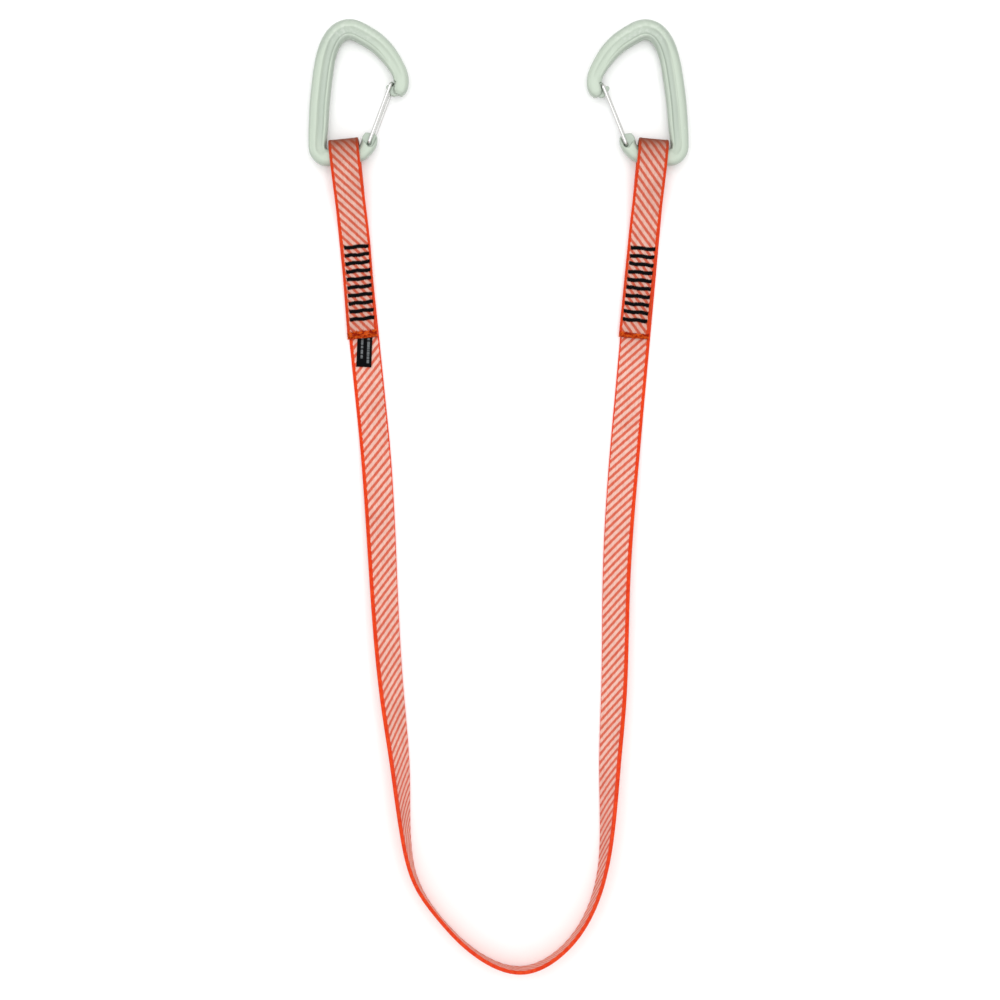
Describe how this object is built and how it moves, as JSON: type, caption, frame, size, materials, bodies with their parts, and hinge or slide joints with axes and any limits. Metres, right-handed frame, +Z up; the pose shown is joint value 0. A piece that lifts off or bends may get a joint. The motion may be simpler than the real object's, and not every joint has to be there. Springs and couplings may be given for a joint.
{
  "type": "climbing quickdraw",
  "caption": "Long climbing quickdraw: striped flat webbing with a bar-tacked eye at each end and a wire-gate carabiner in each eye, laid in a U.",
  "frame": {"origin": "bottom centre of the bounding box, on the surface that the quickdraw lies on", "axes": "+Z up from that surface, +Y from the bend of the webbing towards the carabiners, +X towards the right carabiner"},
  "size_m": [0.2572, 0.6444, 0.0205],
  "materials": {
    "webbing": "woven polyamide tape, orange-red with diagonal cream stripes",
    "thread": "black bonded sewing thread",
    "seam_thread": "orange-brown overlock thread",
    "label": "black woven label",
    "anodised_body": "satin pale green anodising on a hot-forged alloy",
    "gate_wire": "polished stainless wire"
  },
  "bodies": {
    "webbing": {"webbing_bend": "webbing"},
    "left_leg": {"left_webbing_end": "webbing", "left_bar_tack_01": "thread", "left_bar_tack_02": "thread", "left_bar_tack_03": "thread", "left_bar_tack_04": "thread", "left_bar_tack_05": "thread", "left_bar_tack_06": "thread", "left_bar_tack_07": "thread", "left_bar_tack_08": "thread", "left_bar_tack_09": "thread", "left_bar_tack_10": "thread", "left_hem_stitch": "seam_thread", "woven_label": "label"},
    "right_leg": {"right_webbing_end": "webbing", "right_bar_tack_01": "thread", "right_bar_tack_02": "thread", "right_bar_tack_03": "thread", "right_bar_tack_04": "thread", "right_bar_tack_05": "thread", "right_bar_tack_06": "thread", "right_bar_tack_07": "thread", "right_bar_tack_08": "thread", "right_bar_tack_09": "thread", "right_bar_tack_10": "thread", "right_hem_stitch": "seam_thread"},
    "left_carabiner": {"left_carabiner_body": "anodised_body"},
    "right_carabiner": {"right_carabiner_body": "anodised_body"},
    "left_gate": {"left_wire_gate": "gate_wire"},
    "right_gate": {"right_wire_gate": "gate_wire"}
  },
  "joints": [
    {"name": "left_leg_lift", "type": "hinge", "parent": "webbing", "child": "left_leg", "pos_m": [-0.08676, 0.06161, 0.0011], "axis": [0.9949, 0.1011, 0], "range_deg": [0, 90]},
    {"name": "right_leg_lift", "type": "hinge", "parent": "webbing", "child": "right_leg", "pos_m": [0.08874, 0.06143, 0.0011], "axis": [0.9959, -0.0906, 0], "range_deg": [0, 90]},
    {"name": "left_carabiner_swing", "type": "hinge", "parent": "left_leg", "child": "left_carabiner", "pos_m": [-0.10429, 0.2292, 0.0084], "axis": [0.9949, 0.1011, 0], "range_deg": [0, 120]},
    {"name": "right_carabiner_swing", "type": "hinge", "parent": "right_leg", "child": "right_carabiner", "pos_m": [0.10451, 0.22919, 0.0084], "axis": [0.9959, -0.0906, 0], "range_deg": [0, 120]},
    {"name": "left_gate_opening", "type": "hinge", "parent": "left_carabiner", "child": "left_gate", "pos_m": [-0.08683, 0.2373, 0.00819], "axis": [-0.0033, 0.0324, 0.9995], "range_deg": [0, 32], "stiffness_Nm_per_rad": 0.4, "springref_deg": -17.19},
    {"name": "right_gate_opening", "type": "hinge", "parent": "right_carabiner", "child": "right_gate", "pos_m": [0.08686, 0.23686, 0.0082], "axis": [-0.003, -0.0325, -0.9995], "range_deg": [0, 32], "stiffness_Nm_per_rad": 0.4, "springref_deg": -17.19}
  ]
}
